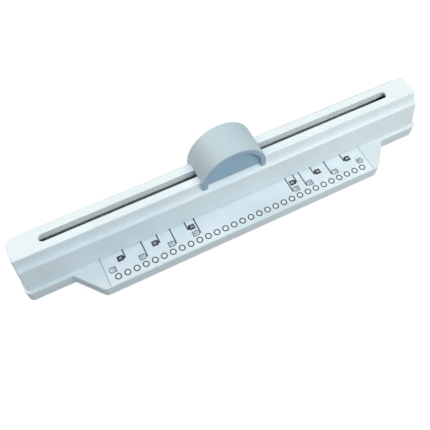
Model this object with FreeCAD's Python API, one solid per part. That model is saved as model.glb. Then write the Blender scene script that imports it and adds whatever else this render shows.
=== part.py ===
import FreeCAD
import Part

import math
import os

# A thirty-hole sliding paper punch: a long hollow body on a base with a front table,
# a grip that slides along a slot in the top, and thirty sprung punch pins under it.
# Sizes are millimetres. The pieces are modelled about the line of the punch pins,
# with X along the punch, Y towards the back and Z up from the desk.

# How far a cut runs past the face it opens, and how near counts as flat
PAST = 1.0
NEAR = 0.0001

# Holes and sheet
PIN_COUNT = 30
PIN_PITCH = 9.5
HOLE_DIAMETER = 5.5
SHEET_END_MARGIN = 10.75
EDGE_TO_HOLE = 6.5
SHEET_SIDE_ROOM = 1.5
THROAT_GAP = 2.0

# Walls of the mouldings
WALL = 2.4
TOP_PLATE = 2.6
BOTTOM_PLATE = 1.8
BOTTOM_PLATE_GAP = 0.2

# Upper cover
OVERTRAVEL = 41.7
SLOT_WIDTH = 8.0
SLOT_RIB_DEPTH = 6.1
SLOT_RIB_THICKNESS = 1.5
SLOT_RIB_OVERRUN = 7.8
COVER_END = 29.1
COVER_TOP_HALF = 12.0
BAND_SPREAD = 2.9
BAND_DROP = 7.2
BAND_FOOT_RADIUS = 10.0
LEDGE_SPREAD = 4.7
LEDGE_DROP = 3.5
SKIRT_SPREAD = 6.2
COVER_BACK_RADIUS = 5.0
COVER_FRONT_RADIUS = 1.6
COVER_EDGE_RADIUS = 1.0
LEDGE_EDGE_RADIUS = 1.0

# Base and table
FLANGE_END = 2.7
FLANGE_FRONT = 3.8
FLANGE_BACK = 2.7
TABLE_DEPTH = 27.2
TABLE_MARGIN = 5.5
TABLE_SLANT = 22.2
TABLE_CORNER_RADIUS = 7.0
BASE_CORNER_RADIUS = 6.0
INNER_CORNER_RADIUS = 3.0
BASE_EDGE_RADIUS = 0.9

# Chip drawer and its tunnel
DRAWER_HALF = 10.5
DRAWER_HEIGHT = 8.8
DRAWER_WALL = 1.2
DRAWER_FRONT_WALL = 3.2
DRAWER_SIDE_GAP = 0.5
DRAWER_LIFT = 0.3
DRAWER_TOP_GAP = 0.6
DRAWER_BACK_ROOM = 13.25
DRAWER_PULL_DEPTH = 1.6
DRAWER_PULL_HALF = 7.0
DRAWER_PULL_HEIGHT = 2.6
TUNNEL_RIB = 2.0
TUNNEL_BACK_GAP = 1.0

# Punch frame: die plate, paper stop, guide plate and pin channel
FRAME_END = 13.0
FRAME_SCREW_EDGE = 3.0
FRAME_BACK_SCREWS = 5
FRAME_SCREW_PITCH = 50.0
DIE_THICKNESS = 3.0
DIE_FIT = 0.05
DIE_SEAT_GAP = 0.15
GUIDE_THICKNESS = 3.5
GUIDE_FIT = 0.04
GUIDE_LEAD_IN = 1.5
CHANNEL_SHEET = 1.5
CHANNEL_SIDE_ROOM = 3.1
CHANNEL_FIT = 0.1

# Pins and their springs
PIN_LIFT = 0.5
PIN_STROKE = 5.0
PIN_CROWN = 1.0
PIN_DOME = 1.2
PIN_TIP_NOTCH = 0.7
CLIP_THICKNESS = 0.8
CLIP_RIM = 1.65
CLIP_GROOVE = 0.45
CLIP_GAP = 0.1
CLIP_FIT = 0.02
SPRING_WIRE = 0.6
SPRING_BORE_GAP = 0.3
SPRING_LENGTH = 8.0
SPRING_TURNS = 3
SPRING_END_GAP = 0.05

# Rails that hold the carriage down
RAIL_SHEET = 1.3
RAIL_FOOT_GAP = 1.5
RAIL_LIP = 3.0
TRACK_DROP = 0.3
TRACK_TOP_ROOM = 0.2
RIVET_COUNT = 6
RIVET_PITCH = 60.0
RIVET_RISE = 4.0
RIVET_RADIUS = 1.2
RIVET_HEAD_RADIUS = 2.0
RIVET_HEAD = 0.6
RIVET_FIT = 0.02

# Rail blocks and bumpers
BLOCK_LENGTH = 8.0
BLOCK_SIDE_GAP = 1.5
BLOCK_LIP_GAP = 0.2
BLOCK_SCREW_EDGE = 3.5
BUMPER_THICKNESS = 2.0
BUMPER_HALF = 5.0
BUMPER_HEIGHT = 5.0

# Carriage and its rollers
CARRIAGE_X = 2.7
CARRIAGE_LENGTH = 48.0
CARRIAGE_SIDE_GAP = 0.5
CARRIAGE_SKIN = 1.5
CARRIAGE_LIFT = 0.5
SHOULDER_GAP = 0.5
NECK_SIDE_GAP = 0.6
ROLLER_GAP = 0.3
ROLLER_RADIUS = 3.6
ROLLER_HALF_WIDTH = 2.0
ROLLER_SIDE_GAP = 0.3
ROLLER_CHAMFER = 0.3
ROLLER_POCKET_GAP = 0.5
LEAD_ROLLER_RADIUS = 3.2
LEAD_ROLLER_RISE = 1.0
LEAD_ROLLER_PITCH = 12.5
AXLE_RADIUS = 1.25
AXLE_COVER = 0.75
AXLE_FIT = 0.05
AXLE_PRESS = 0.02
AXLE_END_GAP = 0.2
GLIDE_LENGTH = 12.0
GLIDE_GAP = 0.25
STEM_LENGTH = 20.0
STEM_SIDE_GAP = 1.0
STEM_END_GAP = 3.8
STEM_RISE = 16.0
TRAVEL_END_GAP = 0.3

# Grip
GRIP_HALF_WIDTH = 34.9
GRIP_ARCH_RISE = 38.0
GRIP_SIDE_DROP = 5.0
GRIP_FOOT_LIFT = 0.5
GRIP_FRONT_SETBACK = 2.7
GRIP_BACK_OVERHANG = 0.3
GRIP_WALL = 3.0
GRIP_RIM = 5.5
GRIP_RIM_DEPTH = 2.4
GRIP_PANEL = 2.0
GRIP_PANEL_GAP = 0.1
GRIP_COVER_GAP = 0.45
GRIP_EDGE_RADIUS = 1.4
GRIP_RIB = 2.2
GRIP_RIB_HALF = 16.0
GRIP_SCREW_SPACING = 10.0
GRIP_SCREW_DROP = 7.0

# Screws and bosses
SCREW_RADIUS = 1.4
SCREW_FIT = 0.2
THREAD_FIT = 0.02
SCREW_HEAD_RADIUS = 2.7
SCREW_HEAD = 1.8
SCREW_SOCKET_WIDTH = 0.7
SCREW_SOCKET_RIM = 0.8
SCREW_SOCKET_FLOOR = 0.4
SCREW_TIP_ROOM = 0.5
SCREW_BITE = 6.0
BOSS_WALL = 1.8
COVER_SCREW_INSET = 37.5
COVER_SCREW_EDGE = 5.2
COVER_BACK_SCREW_X = 60.0
COVER_BACK_SCREW_EDGE = 2.6
PLATE_SCREW_RADIUS = 1.1
PLATE_SCREW_TIP_ROOM = 2.0
PLATE_SCREW_HEAD_RADIUS = 2.2
PLATE_SCREW_HEAD = 1.0
PLATE_SCREW_SINK = 0.1
PLATE_SCREW_END_INSET = 8.0
PLATE_SCREW_EDGE = 7.5
PLATE_SCREW_MID_X = 70.0

# Rubber feet
FOOT_RADIUS = 6.0
FOOT_PROUD = 1.0
FOOT_SEAT = 0.6
FOOT_EDGE_RADIUS = 0.4
FOOT_EDGE = 11.0
FOOT_END_INSET = 24.0
FOOT_TABLE_INSET = 16.0

# Label on the table
LABEL_THICKNESS = 0.15
LABEL_MARGIN = 0.3
LABEL_BACK_GAP = 1.0

# Lengths along the punch
ROW_LENGTH = (PIN_COUNT - 1) * PIN_PITCH
SHEET_LENGTH = ROW_LENGTH + 2 * SHEET_END_MARGIN
THROAT_HALF = SHEET_LENGTH / 2 + SHEET_SIDE_ROOM
FRAME_HALF_LENGTH = THROAT_HALF + FRAME_END
SLOT_HALF_LENGTH = SHEET_LENGTH / 2 + OVERTRAVEL
COVER_HALF_LENGTH = SLOT_HALF_LENGTH + COVER_END
BASE_HALF_LENGTH = COVER_HALF_LENGTH + FLANGE_END
TABLE_FRONT_HALF = SHEET_LENGTH / 2 + TABLE_MARGIN
TABLE_BACK_HALF = TABLE_FRONT_HALF + TABLE_SLANT
TRAVEL = SLOT_HALF_LENGTH - STEM_LENGTH / 2 - STEM_END_GAP
BLOCK_FACE = TRAVEL + CARRIAGE_LENGTH / 2 + TRAVEL_END_GAP + BUMPER_THICKNESS
RAIL_HALF_LENGTH = BLOCK_FACE + BLOCK_LENGTH
DRAWER_BACK = ROW_LENGTH / 2 + DRAWER_BACK_ROOM

# Levels above the desk
FLOOR_TOP = FOOT_PROUD + BOTTOM_PLATE
DRAWER_BOTTOM = FLOOR_TOP + DRAWER_LIFT
DRAWER_TOP = DRAWER_BOTTOM + DRAWER_HEIGHT
DIE_BOTTOM = DRAWER_TOP + DRAWER_TOP_GAP
TABLE_HEIGHT = DIE_BOTTOM + DIE_THICKNESS
PLATE_BOTTOM = TABLE_HEIGHT - TOP_PLATE
GUIDE_BOTTOM = TABLE_HEIGHT + THROAT_GAP
GUIDE_TOP = GUIDE_BOTTOM + GUIDE_THICKNESS
CLIP_BOTTOM = GUIDE_TOP + SPRING_LENGTH + 2 * SPRING_END_GAP
CLIP_TOP = CLIP_BOTTOM + CLIP_THICKNESS
WEB_BOTTOM = CLIP_TOP + CLIP_GAP
CHANNEL_TOP = WEB_BOTTOM + CHANNEL_SHEET
PIN_TIP = GUIDE_BOTTOM + PIN_LIFT
PIN_TOP = CHANNEL_TOP + PIN_STROKE + PIN_CROWN
ROLLER_Z = PIN_TOP + ROLLER_GAP + ROLLER_RADIUS
LEAD_ROLLER_Z = PIN_TOP + ROLLER_GAP + LEAD_ROLLER_RISE + LEAD_ROLLER_RADIUS
CARRIAGE_BOTTOM = PIN_TOP + CARRIAGE_LIFT
CARRIAGE_SHOULDER = LEAD_ROLLER_Z + AXLE_RADIUS + AXLE_COVER
ROLLER_TOP = max(ROLLER_Z + ROLLER_RADIUS, LEAD_ROLLER_Z + LEAD_ROLLER_RADIUS)
CARRIAGE_TOP = ROLLER_TOP + ROLLER_POCKET_GAP + CARRIAGE_SKIN
SLOT_RIB_BOTTOM = CARRIAGE_SHOULDER + SHOULDER_GAP
COVER_HEIGHT = SLOT_RIB_BOTTOM + SLOT_RIB_DEPTH + WALL
BAND_LEVEL = COVER_HEIGHT - BAND_DROP
LEDGE_LEVEL = BAND_LEVEL - LEDGE_DROP
RAIL_BOTTOM = GUIDE_TOP + CHANNEL_SHEET + RAIL_FOOT_GAP
TRACK_BOTTOM = PIN_TOP - TRACK_DROP
TRACK_TOP = CARRIAGE_SHOULDER + TRACK_TOP_ROOM
STEM_TOP = COVER_HEIGHT + STEM_RISE
GRIP_SPRING_LINE = COVER_HEIGHT - GRIP_SIDE_DROP
GRIP_FOOT = LEDGE_LEVEL + GRIP_FOOT_LIFT

# Widths from the pin line
PIN_RADIUS = HOLE_DIAMETER / 2
CLIP_RADIUS = PIN_RADIUS + CLIP_RIM
SPRING_RADIUS = PIN_RADIUS + SPRING_BORE_GAP + SPRING_WIRE / 2
TUNNEL_HALF = DRAWER_HALF + DRAWER_SIDE_GAP
FRAME_SCREW_Y = TUNNEL_HALF + FRAME_SCREW_EDGE
FRAME_HALF = FRAME_SCREW_Y + FRAME_SCREW_EDGE
CHANNEL_HALF = CLIP_RADIUS + CHANNEL_SIDE_ROOM + CHANNEL_SHEET
RAIL_OUTER = CHANNEL_HALF + RAIL_SHEET
LIP_EDGE = CHANNEL_HALF - RAIL_LIP
CARRIAGE_HALF = LIP_EDGE - CARRIAGE_SIDE_GAP
NECK_HALF = SLOT_WIDTH / 2 - NECK_SIDE_GAP
STEM_HALF = SLOT_WIDTH / 2 - STEM_SIDE_GAP
BAND_HALF = COVER_TOP_HALF + BAND_SPREAD
LEDGE_HALF = BAND_HALF + LEDGE_SPREAD
SKIRT_HALF = LEDGE_HALF + SKIRT_SPREAD
SKIRT_SLOPE = SKIRT_SPREAD / (LEDGE_LEVEL - TABLE_HEIGHT)
SKIRT_INNER = SKIRT_HALF - WALL * math.hypot(1, SKIRT_SLOPE)
BASE_FRONT = SKIRT_HALF + FLANGE_FRONT
BASE_BACK = SKIRT_HALF + FLANGE_BACK
TABLE_REACH = BASE_FRONT + TABLE_DEPTH
BLOCK_FOOT_HALF = SKIRT_INNER - SKIRT_SLOPE * (RAIL_BOTTOM - TABLE_HEIGHT) - BLOCK_SIDE_GAP
BLOCK_SCREW_Y = BLOCK_FOOT_HALF - BLOCK_SCREW_EDGE
GRIP_FRONT = GRIP_FRONT_SETBACK - LEDGE_HALF
GRIP_BACK = LEDGE_HALF + GRIP_BACK_OVERHANG
PIN_LINE_Y = (TABLE_REACH - BASE_BACK) / 2


def point(u, v, level, plane):
    """A point from two flat coordinates and the distance out of their plane."""
    if plane == "xy":
        return FreeCAD.Vector(u, v, level)
    if plane == "yz":
        return FreeCAD.Vector(level, u, v)
    return FreeCAD.Vector(u, level, v)


def box(x0, x1, y0, y1, z0, z1):
    """A block between two corners."""
    return Part.makeBox(x1 - x0, y1 - y0, z1 - z0, FreeCAD.Vector(x0, y0, z0))


def rod(x, y, z, radius, length, axis="z"):
    """A round bar that starts at a point and runs along an axis."""
    way = {"x": (1, 0, 0), "y": (0, 1, 0), "z": (0, 0, 1)}[axis]
    return Part.makeCylinder(radius, length, FreeCAD.Vector(x, y, z), FreeCAD.Vector(*way))


def grown(corners, distance):
    """Move every side of a counterclockwise outline outwards, radii included."""
    result = []
    for i, (x, y, radius) in enumerate(corners):
        here = point(x, y, 0, "xy")
        before = point(*corners[i - 1][:2], 0, "xy")
        after = point(*corners[(i + 1) % len(corners)][:2], 0, "xy")
        arriving = (here - before).normalize()
        leaving = (after - here).normalize()
        turn = arriving.cross(leaving).z
        along = distance * (1 - arriving.dot(leaving)) / turn
        corner = here + FreeCAD.Vector(arriving.y, -arriving.x, 0) * distance + arriving * along
        rounded = radius + distance if turn > 0 else radius - distance
        result.append((corner.x, corner.y, max(rounded, 0) if radius else 0))
    return result


def outline(corners, level, plane="xy"):
    """A closed wire through corners (u, v, radius), each rounded by its radius."""
    ends = []
    for i, (x, y, radius) in enumerate(corners):
        here = point(x, y, level, plane)
        before = point(*corners[i - 1][:2], level, plane)
        after = point(*corners[(i + 1) % len(corners)][:2], level, plane)
        to_before = (before - here).normalize()
        to_after = (after - here).normalize()
        half_angle = to_before.getAngle(to_after) / 2
        reach = radius / math.tan(half_angle)
        middle = here + (to_before + to_after).normalize() * (radius / math.sin(half_angle) - radius)
        ends.append((here + to_before * reach, middle, here + to_after * reach, radius))
    edges = []
    for i, (start, middle, end, radius) in enumerate(ends):
        if radius:
            edges.append(Part.Arc(start, middle, end).toShape())
        edges.append(Part.LineSegment(end, ends[(i + 1) % len(ends)][0]).toShape())
    return Part.Wire(edges)


def plate(corners, z0, z1):
    """A flat plate of an outline, from one level to another."""
    return Part.Face(outline(corners, z0)).extrude(FreeCAD.Vector(0, 0, z1 - z0))


def edges_at(shape, level):
    """The edges that lie wholly at one level."""
    found = []
    for edge in shape.Edges:
        bounds = edge.BoundBox
        if abs(bounds.ZMin - level) < NEAR and abs(bounds.ZMax - level) < NEAR:
            found.append(edge)
    return found


def mirrored_x(shape):
    """The same piece on the other side of the middle."""
    return shape.mirror(FreeCAD.Vector(0, 0, 0), FreeCAD.Vector(1, 0, 0))


def screw(x, y, seat, length, radius, head_radius, head, downwards):
    """A pan-head screw with a cross slot; its head lies on the seat level."""
    body = rod(0, 0, -length, radius, length).fuse(rod(0, 0, 0, head_radius, head))
    reach = head_radius - SCREW_SOCKET_RIM
    half = SCREW_SOCKET_WIDTH / 2
    for x_half, y_half in ((reach, half), (half, reach)):
        body = body.cut(box(-x_half, x_half, -y_half, y_half, SCREW_SOCKET_FLOOR, head + PAST))
    if not downwards:
        body.rotate(FreeCAD.Vector(0, 0, 0), FreeCAD.Vector(1, 0, 0), 180)
    return body.translated(FreeCAD.Vector(x, y, seat))


def save(name, solids):
    """Move the piece from the pin line to the centre of the footprint and write it."""
    shape = solids if isinstance(solids, Part.Shape) else Part.makeCompound(solids)
    shape.translated(FreeCAD.Vector(0, PIN_LINE_Y, 0)).exportStep("parts/" + name + ".step")


def pin_places():
    """The places of the pins along the row."""
    return [-ROW_LENGTH / 2 + i * PIN_PITCH for i in range(PIN_COUNT)]


def frame_screw_places():
    """Two screws at each end of the punch frame and a row along its back."""
    end_x = THROAT_HALF + FRAME_END / 2
    places = [(sx * end_x, sy * FRAME_SCREW_Y) for sx in (-1, 1) for sy in (-1, 1)]
    first = -(FRAME_BACK_SCREWS - 1) / 2 * FRAME_SCREW_PITCH
    return places + [(first + i * FRAME_SCREW_PITCH, FRAME_SCREW_Y) for i in range(FRAME_BACK_SCREWS)]


def cover_screw_places():
    """Screws that hold the cover down: one near each corner and two along the back."""
    x = COVER_HALF_LENGTH - COVER_SCREW_INSET
    y = SKIRT_INNER - COVER_SCREW_EDGE
    back_y = SKIRT_INNER - COVER_BACK_SCREW_EDGE
    corners = [(sx * x, sy * y) for sx in (-1, 1) for sy in (-1, 1)]
    return corners + [(sx * COVER_BACK_SCREW_X, back_y) for sx in (-1, 1)]


def block_screw_places():
    """Screws that hold the rail blocks down on the base."""
    x = BLOCK_FACE + BLOCK_LENGTH / 2
    return [(sx * x, sy * BLOCK_SCREW_Y) for sx in (-1, 1) for sy in (-1, 1)]


def plate_screw_places():
    """Screws that hold the bottom plate: four at the ends, two at the back, two under the table."""
    x = BASE_HALF_LENGTH - PLATE_SCREW_END_INSET
    front_y = PLATE_SCREW_EDGE - BASE_FRONT
    back_y = BASE_BACK - PLATE_SCREW_EDGE
    ends = [(sx * x, y) for sx in (-1, 1) for y in (front_y, back_y)]
    back = [(sx * PLATE_SCREW_MID_X, back_y) for sx in (-1, 1)]
    table = [(sx * PLATE_SCREW_MID_X, PLATE_SCREW_EDGE - TABLE_REACH) for sx in (-1, 1)]
    return ends + back + table


def foot_places():
    """Three feet along the back and three under the table."""
    back_x = BASE_HALF_LENGTH - FOOT_END_INSET
    front_x = TABLE_FRONT_HALF - FOOT_TABLE_INSET
    back = [(x, BASE_BACK - FOOT_EDGE) for x in (-back_x, 0, back_x)]
    return back + [(x, FOOT_EDGE - TABLE_REACH) for x in (-front_x, 0, front_x)]


def base_corners():
    """The footprint of the base with its front table, counterclockwise from above."""
    return [
        (-BASE_HALF_LENGTH, -BASE_FRONT, BASE_CORNER_RADIUS),
        (-TABLE_BACK_HALF, -BASE_FRONT, INNER_CORNER_RADIUS),
        (-TABLE_FRONT_HALF, -TABLE_REACH, TABLE_CORNER_RADIUS),
        (TABLE_FRONT_HALF, -TABLE_REACH, TABLE_CORNER_RADIUS),
        (TABLE_BACK_HALF, -BASE_FRONT, INNER_CORNER_RADIUS),
        (BASE_HALF_LENGTH, -BASE_FRONT, BASE_CORNER_RADIUS),
        (BASE_HALF_LENGTH, BASE_BACK, BASE_CORNER_RADIUS),
        (-BASE_HALF_LENGTH, BASE_BACK, BASE_CORNER_RADIUS),
    ]


def base_housing():
    """The base moulding: table, flange, drawer tunnel, screw bosses and the seat of the die plate."""
    outer = plate(base_corners(), FOOT_PROUD, TABLE_HEIGHT)
    outer = outer.makeFillet(BASE_EDGE_RADIUS, edges_at(outer, TABLE_HEIGHT))
    inside = grown(base_corners(), -WALL)
    housing = outer.cut(plate(inside, FOOT_PROUD - PAST, PLATE_BOTTOM))
    ribs = []
    rib_start = -DRAWER_BACK - TUNNEL_BACK_GAP - TUNNEL_RIB
    for sign in (-1, 1):
        sides = sorted((sign * TUNNEL_HALF, sign * (TUNNEL_HALF + TUNNEL_RIB)))
        ribs.append(box(rib_start, BASE_HALF_LENGTH - WALL, *sides, FLOOR_TOP, PLATE_BOTTOM))
    ribs.append(box(rib_start, rib_start + TUNNEL_RIB, -TUNNEL_HALF, TUNNEL_HALF, FLOOR_TOP, PLATE_BOTTOM))
    boss_radius = SCREW_RADIUS + BOSS_WALL
    for x, y in frame_screw_places():
        ribs.append(rod(x, y, FLOOR_TOP, boss_radius, PLATE_BOTTOM - FLOOR_TOP))
    for x, y in plate_screw_places():
        ribs.append(rod(x, y, FLOOR_TOP, PLATE_SCREW_RADIUS + BOSS_WALL, PLATE_BOTTOM - FLOOR_TOP))
    housing = housing.fuse(ribs).removeSplitter()
    tunnel = (-DRAWER_BACK - TUNNEL_BACK_GAP, BASE_HALF_LENGTH + PAST)
    seat_x = FRAME_HALF_LENGTH + DIE_SEAT_GAP
    seat_y = FRAME_HALF + DIE_SEAT_GAP
    cuts = [
        box(*tunnel, -TUNNEL_HALF, TUNNEL_HALF, FLOOR_TOP, DIE_BOTTOM),
        box(-seat_x, seat_x, -seat_y, seat_y, DIE_BOTTOM, TABLE_HEIGHT + PAST),
    ]
    for x, y in frame_screw_places():
        cuts.append(rod(x, y, DIE_BOTTOM - SCREW_BITE, SCREW_RADIUS + THREAD_FIT, SCREW_BITE + PAST))
    for x, y in cover_screw_places() + block_screw_places():
        cuts.append(rod(x, y, PLATE_BOTTOM - PAST, SCREW_RADIUS + SCREW_FIT, TOP_PLATE + 2 * PAST))
    depth = PLATE_BOTTOM - FLOOR_TOP
    for x, y in plate_screw_places():
        cuts.append(rod(x, y, FLOOR_TOP - PAST, PLATE_SCREW_RADIUS + THREAD_FIT, depth))
    return housing.cut(cuts)


def bottom_plate():
    """The plate that closes the base from below, with seats for the feet and sunk screw holes."""
    shape = plate(grown(base_corners(), -WALL - BOTTOM_PLATE_GAP), FOOT_PROUD, FLOOR_TOP)
    cuts = []
    for x, y in foot_places():
        cuts.append(rod(x, y, FOOT_PROUD - PAST, FOOT_RADIUS, FOOT_SEAT + PAST))
    sink = PLATE_SCREW_HEAD + PLATE_SCREW_SINK
    for x, y in plate_screw_places():
        through = BOTTOM_PLATE + 2 * PAST
        cuts.append(rod(x, y, FOOT_PROUD - PAST, PLATE_SCREW_RADIUS + SCREW_FIT, through))
        cuts.append(rod(x, y, FOOT_PROUD - PAST, PLATE_SCREW_HEAD_RADIUS + SCREW_FIT, sink + PAST))
    return shape.cut(cuts)


def bottom_screws():
    """The short screws of the bottom plate, heads sunk below it."""
    seat = FOOT_PROUD + PLATE_SCREW_HEAD + PLATE_SCREW_SINK
    length = PLATE_BOTTOM - seat - PLATE_SCREW_TIP_ROOM
    head = (PLATE_SCREW_HEAD_RADIUS, PLATE_SCREW_HEAD)
    return [screw(x, y, seat, length, PLATE_SCREW_RADIUS, *head, False) for x, y in plate_screw_places()]


def rubber_feet():
    """Round rubber feet pressed into seats in the bottom plate."""
    feet = []
    for x, y in foot_places():
        foot = rod(x, y, 0, FOOT_RADIUS, FOOT_PROUD + FOOT_SEAT)
        feet.append(foot.makeFillet(FOOT_EDGE_RADIUS, edges_at(foot, 0)))
    return feet


def frame_layer(z0, z1):
    """One flat layer of the punch frame."""
    return box(-FRAME_HALF_LENGTH, FRAME_HALF_LENGTH, -FRAME_HALF, FRAME_HALF, z0, z1)


def die_plate():
    """The hardened strip under the paper with one hole for each pin."""
    shape = frame_layer(DIE_BOTTOM, TABLE_HEIGHT).cut(pin_holes(DIE_BOTTOM, TABLE_HEIGHT, DIE_FIT))
    return shape.cut(frame_screw_holes(DIE_BOTTOM, TABLE_HEIGHT))


def pin_holes(z0, z1, fit):
    """The row of holes for the pins through one layer."""
    return [rod(x, 0, z0 - PAST, PIN_RADIUS + fit, z1 - z0 + 2 * PAST) for x in pin_places()]


def frame_screw_holes(z0, z1):
    """Clearance holes for the frame screws through one layer."""
    radius = SCREW_RADIUS + SCREW_FIT
    return [rod(x, y, z0 - PAST, radius, z1 - z0 + 2 * PAST) for x, y in frame_screw_places()]


def paper_stop():
    """The spacer that sets the throat: a stop along the back and a tab at each end."""
    shape = frame_layer(TABLE_HEIGHT, GUIDE_BOTTOM)
    deep = (-FRAME_HALF - PAST, EDGE_TO_HOLE)
    throat = box(-THROAT_HALF, THROAT_HALF, *deep, TABLE_HEIGHT - PAST, GUIDE_BOTTOM + PAST)
    return shape.cut([throat] + frame_screw_holes(TABLE_HEIGHT, GUIDE_BOTTOM))


def guide_plate():
    """The plate over the paper that guides the pin tips."""
    shape = frame_layer(GUIDE_BOTTOM, GUIDE_TOP)
    front_edge = [e for e in edges_at(shape, GUIDE_BOTTOM) if e.BoundBox.YMax < 0]
    shape = shape.makeChamfer(GUIDE_LEAD_IN, front_edge).cut(pin_holes(GUIDE_BOTTOM, GUIDE_TOP, GUIDE_FIT))
    return shape.cut(frame_screw_holes(GUIDE_BOTTOM, GUIDE_TOP))


def pin_channel():
    """A folded hat section over the springs; its top guides the pin heads."""
    inner = CHANNEL_HALF - CHANNEL_SHEET
    ends = (-FRAME_HALF_LENGTH, FRAME_HALF_LENGTH)
    shape = box(*ends, -CHANNEL_HALF, CHANNEL_HALF, GUIDE_TOP, CHANNEL_TOP)
    shape = shape.fuse(box(*ends, -FRAME_HALF, FRAME_HALF, GUIDE_TOP, GUIDE_TOP + CHANNEL_SHEET))
    shape = shape.removeSplitter()
    cuts = [box(ends[0] - PAST, ends[1] + PAST, -inner, inner, GUIDE_TOP - PAST, WEB_BOTTOM)]
    cuts += pin_holes(WEB_BOTTOM, CHANNEL_TOP, CHANNEL_FIT)
    cuts += frame_screw_holes(GUIDE_TOP, GUIDE_TOP + CHANNEL_SHEET)
    for x in rivet_places():
        cuts.append(cross_hole(x, rivet_level(), RIVET_RADIUS + RIVET_FIT, CHANNEL_HALF))
    return shape.cut(cuts)


def cross_hole(x, z, radius, half):
    """A hole from front to back through a piece of a known half width."""
    return rod(x, -half - PAST, z, radius, 2 * (half + PAST), "y")


def frame_screws():
    """Long screws through channel, guide plate, stop and die plate into the base."""
    seat = GUIDE_TOP + CHANNEL_SHEET
    length = seat - DIE_BOTTOM + SCREW_BITE - SCREW_TIP_ROOM
    head = (SCREW_HEAD_RADIUS, SCREW_HEAD)
    return [screw(x, y, seat, length, SCREW_RADIUS, *head, True) for x, y in frame_screw_places()]


def punch_pin(x):
    """One punch pin with a notched tip and a domed top, and the clip that stops its rise."""
    neck = PIN_RADIUS - CLIP_GROOVE
    run = [
        (0, PIN_TIP),
        (PIN_RADIUS, PIN_TIP),
        (PIN_RADIUS, CLIP_BOTTOM),
        (neck, CLIP_BOTTOM),
        (neck, CLIP_TOP),
        (PIN_RADIUS, CLIP_TOP),
        (PIN_RADIUS, PIN_TOP - PIN_DOME),
    ]
    points = [FreeCAD.Vector(r, 0, z) for r, z in run]
    edges = [Part.LineSegment(a, b).toShape() for a, b in zip(points, points[1:])]
    top = FreeCAD.Vector(0, 0, PIN_TOP)
    sphere = (PIN_RADIUS ** 2 + PIN_DOME ** 2) / (2 * PIN_DOME)
    half_angle = math.asin(PIN_RADIUS / sphere) / 2
    on_dome = FreeCAD.Vector(sphere * math.sin(half_angle), 0, PIN_TOP - sphere * (1 - math.cos(half_angle)))
    edges.append(Part.Arc(points[-1], on_dome, top).toShape())
    edges.append(Part.LineSegment(top, points[0]).toShape())
    pin = Part.Face(Part.Wire(edges)).revolve(FreeCAD.Vector(0, 0, 0), FreeCAD.Vector(0, 0, 1), 360)
    reach = PIN_RADIUS + PAST
    corners = [(-reach, PIN_TIP - PAST), (reach, PIN_TIP - PAST), (0, PIN_TIP + PIN_TIP_NOTCH)]
    notch = Part.makePolygon([FreeCAD.Vector(u, -reach, z) for u, z in corners + corners[:1]])
    pin = pin.cut(Part.Face(notch).extrude(FreeCAD.Vector(0, 2 * reach, 0)))
    clip = rod(0, 0, CLIP_BOTTOM, CLIP_RADIUS, CLIP_THICKNESS)
    clip = clip.cut(rod(0, 0, CLIP_BOTTOM - PAST, neck + CLIP_FIT, CLIP_THICKNESS + 2 * PAST))
    clip = clip.cut(box(-neck, neck, 0, CLIP_RADIUS + PAST, CLIP_BOTTOM - PAST, CLIP_TOP + PAST))
    return [piece.translated(FreeCAD.Vector(x, 0, 0)) for piece in (pin, clip)]


def tangent_arc(start, corner, end):
    """The arc that leaves start towards a corner point and reaches end."""
    chord = (start + end) * 0.5
    rise = corner - chord
    half = start.distanceToPoint(end) / 2
    sagitta = half * math.tan(math.atan2(rise.Length, half) / 2)
    return Part.Arc(start, chord + rise.normalize() * sagitta, end).toShape()


def biarc(p, s, q, t):
    """Two arcs that join points p and q along their directions s and t."""
    v = q - p
    along = v.dot(s + t)
    spread = 2 * (1 - s.dot(t))
    d = (math.sqrt(along ** 2 + spread * v.dot(v)) - along) / spread
    first, last = p + s * d, q - t * d
    middle = (first + last) * 0.5
    return [tangent_arc(p, first, middle), tangent_arc(middle, last, q)]


def pin_spring():
    """One open coil spring round a pin, on arcs of a quarter turn each."""
    rise = (SPRING_LENGTH - SPRING_WIRE) / SPRING_TURNS / (2 * math.pi)
    start = GUIDE_TOP + SPRING_END_GAP + SPRING_WIRE / 2
    stations = []
    for i in range(4 * SPRING_TURNS + 1):
        a = i * math.pi / 2
        place = FreeCAD.Vector(SPRING_RADIUS * math.cos(a), SPRING_RADIUS * math.sin(a), start + rise * a)
        way = FreeCAD.Vector(-SPRING_RADIUS * math.sin(a), SPRING_RADIUS * math.cos(a), rise).normalize()
        stations.append((place, way))
    edges = []
    for (p, s), (q, t) in zip(stations, stations[1:]):
        edges += biarc(p, s, q, t)
    path = Part.Wire(edges)
    place, way = stations[0]
    ring = Part.Wire(Part.Circle(place, way, SPRING_WIRE / 2).toShape())
    return path.makePipeShell([ring], True, False)


def rail_section():
    """The C section of the back rail, as corners across the punch."""
    low, high = TRACK_BOTTOM - RAIL_SHEET, TRACK_TOP + RAIL_SHEET
    return [
        (RAIL_OUTER, RAIL_BOTTOM),
        (RAIL_OUTER, high),
        (LIP_EDGE, high),
        (LIP_EDGE, TRACK_TOP),
        (CHANNEL_HALF, TRACK_TOP),
        (CHANNEL_HALF, TRACK_BOTTOM),
        (LIP_EDGE, TRACK_BOTTOM),
        (LIP_EDGE, low),
        (CHANNEL_HALF, low),
        (CHANNEL_HALF, RAIL_BOTTOM),
    ]


def rail(sign):
    """One folded rail with two inward lips; the carriage glides between them."""
    wire = outline([(sign * y, z, 0) for y, z in rail_section()], -RAIL_HALF_LENGTH, "yz")
    shape = Part.Face(wire).extrude(FreeCAD.Vector(2 * RAIL_HALF_LENGTH, 0, 0))
    places = rivet_places() + block_rivet_places()
    holes = [cross_hole(x, rivet_level(), RIVET_RADIUS + RIVET_FIT, RAIL_OUTER) for x in places]
    return shape.cut(holes)


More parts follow.
